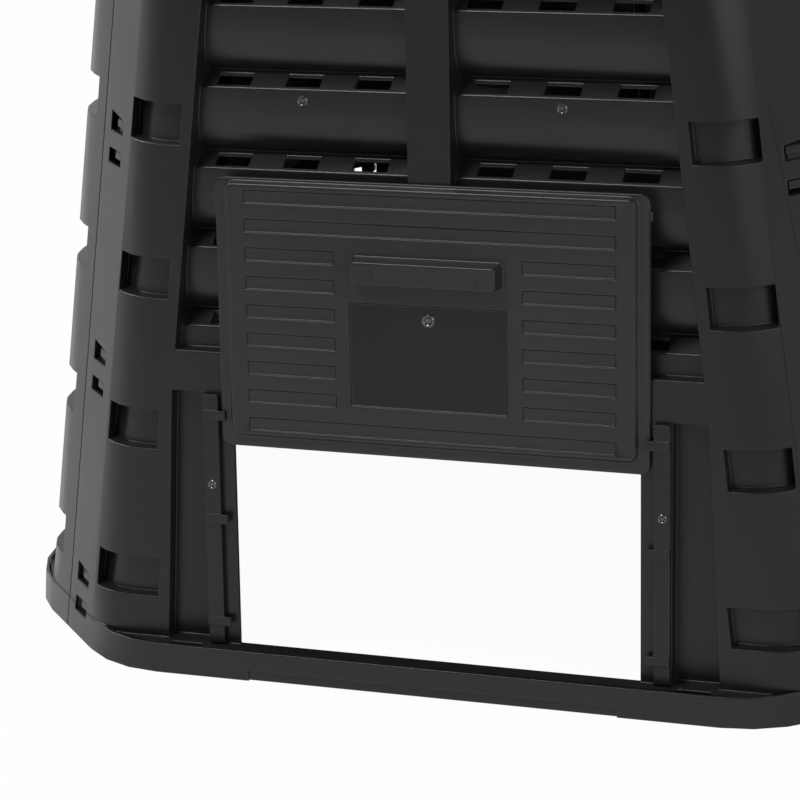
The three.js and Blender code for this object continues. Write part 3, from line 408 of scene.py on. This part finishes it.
def floor_finish(name, kinds, fades):
    finish = bpy.data.materials.new(name)
    finish.use_nodes = True
    tree = finish.node_tree
    surface = tree.nodes["Principled BSDF"]
    surface.inputs["Base Color"].default_value = FLOOR_WHITE
    surface.inputs["Roughness"].default_value = FLOOR_ROUGHNESS
    surface.inputs["Specular IOR Level"].default_value = FLOOR_SHINE
    seen = seen_by(tree, kinds)
    if fades:
        seen = combined(tree, "MULTIPLY", seen, corner_fade(tree))
    glow = tree.nodes.new("ShaderNodeEmission")
    both = tree.nodes.new("ShaderNodeMixShader")
    tree.links.new(in_range(tree, seen, (0, 1), (0, FLOOR_GLOW)), both.inputs["Fac"])
    tree.links.new(surface.outputs["BSDF"], both.inputs[1])
    tree.links.new(glow.outputs["Emission"], both.inputs[2])
    tree.links.new(both.outputs["Shader"], tree.nodes["Material Output"].inputs["Surface"])
    return finish


print("floor glow", FLOOR_GLOW)

# %% [markdown]
# The floor is a plain sheet, wide enough that its edge is out of sight. It is stage, not
# part of the object. The part of it that the walls enclose is a sheet of its own, cut at the
# corners as the bin is. It looks as white through the door, but reflections don't see its
# glow, or the bin would glow inside.

# %% Floor
FLOOR_HALF = 12
ENCLOSED_HALF, ENCLOSED_LIFT, ENCLOSED_CORNER = 0.352, 0.0002, 0.107


def floor_sheet(name, half, height, corner, kinds):
    shape = bmesh.new()
    bmesh.ops.create_grid(shape, x_segments=1, y_segments=1, size=half)
    if corner:
        bmesh.ops.bevel(shape, geom=shape.verts, offset=corner, segments=1, profile=0.5,
                        affect="VERTICES", material=-1)
    bmesh.ops.translate(shape, verts=shape.verts, vec=(0, 0, height))
    mesh = bpy.data.meshes.new(name)
    shape.to_mesh(mesh)
    shape.free()
    mesh.materials.append(floor_finish(name, kinds, bool(corner)))
    sheet = bpy.data.objects.new(name, mesh)
    scene.collection.objects.link(sheet)


floor_sheet("floor", FLOOR_HALF, 0, 0, EVERY_LOOK)
floor_sheet("floor_enclosed", ENCLOSED_HALF, ENCLOSED_LIFT, ENCLOSED_CORNER, STRAIGHT_LOOK)
print("floor", 2 * FLOOR_HALF, "m wide, enclosed part", 2 * ENCLOSED_HALF, "m")

# %% [markdown]
# The studio has a white backdrop behind the bin and an unlit room on the camera's side. To
# the camera the world is plain white. A shiny surface sees the backdrop where it is and
# the dark room in front, which is what gives black plastic its shape. The world gives only
# a part of the diffuse light, and the lamps give the rest.

# %% World
SKY_LIGHT = 0.6  # share of it that is left as diffuse light
BACKDROP, ROOM = 0.8, 0.11  # how bright a shiny surface sees the backdrop and the room
TOWARD_ROOM = (-0.1, -0.98, 0.15)
ROOM_EDGE = (-0.25, 0.45)  # the backdrop turns into the room between these turns toward it

world = bpy.data.worlds.new("studio")
world.use_nodes = True
sky = world.node_tree
way = sky.nodes.new("ShaderNodeTexCoord")
facing = sky.nodes.new("ShaderNodeVectorMath")
facing.operation = "DOT_PRODUCT"
facing.inputs[1].default_value = TOWARD_ROOM
sky.links.new(way.outputs["Generated"], facing.inputs[0])
studio = in_range(sky, facing.outputs["Value"], ROOM_EDGE, (BACKDROP, ROOM), smooth=True)
level = in_range(sky, seen_by(sky, EVERY_LOOK), (0, 1), (SKY_LIGHT, 1))
lit = combined(sky, "MULTIPLY", studio, level)
strength = combined(sky, "MAXIMUM", lit, seen_by(sky, ("Is Camera Ray",)))
background = sky.nodes["Background"]
background.inputs["Color"].default_value = (1, 1, 1, 1)
sky.links.new(strength, background.inputs["Strength"])
scene.world = world
print("sky light", SKY_LIGHT, "backdrop", BACKDROP, "room", ROOM)

# %% [markdown]
# Three soft lamps, as in a product studio. The one high in front and the one high on the
# left draw the bright lines along the upper edges of the louvres, the pockets and the
# ledge. The one on the right reaches into the pockets and the door's channel.

# %% Lamps
MIDDLE = (0, 0, 0.35)
LAMPS = {  # place, width in metres, watts
    "lamp_left": ((-2.6, 0.2, 2.2), 1.0, 38),
    "lamp_high": ((-1.0, -1.5, 2.9), 0.9, 50),
    "lamp_right": ((2.4, -2.0, 1.6), 1.6, 26),
}
for name, (place, size, watts) in LAMPS.items():
    light = bpy.data.lights.new(name, "AREA")
    light.shape, light.size, light.energy = "SQUARE", size, watts
    lamp = bpy.data.objects.new(name, light)
    lamp.location = place
    aim = Vector(MIDDLE) - Vector(place)
    lamp.rotation_euler = aim.to_track_quat("-Z", "Y").to_euler()
    scene.collection.objects.link(lamp)
scene.view_settings.view_transform = "Standard"
print("made", len(LAMPS), "lamps")

# %% [markdown]
# The last cell closes the script.

# %% Finish
print("finished")
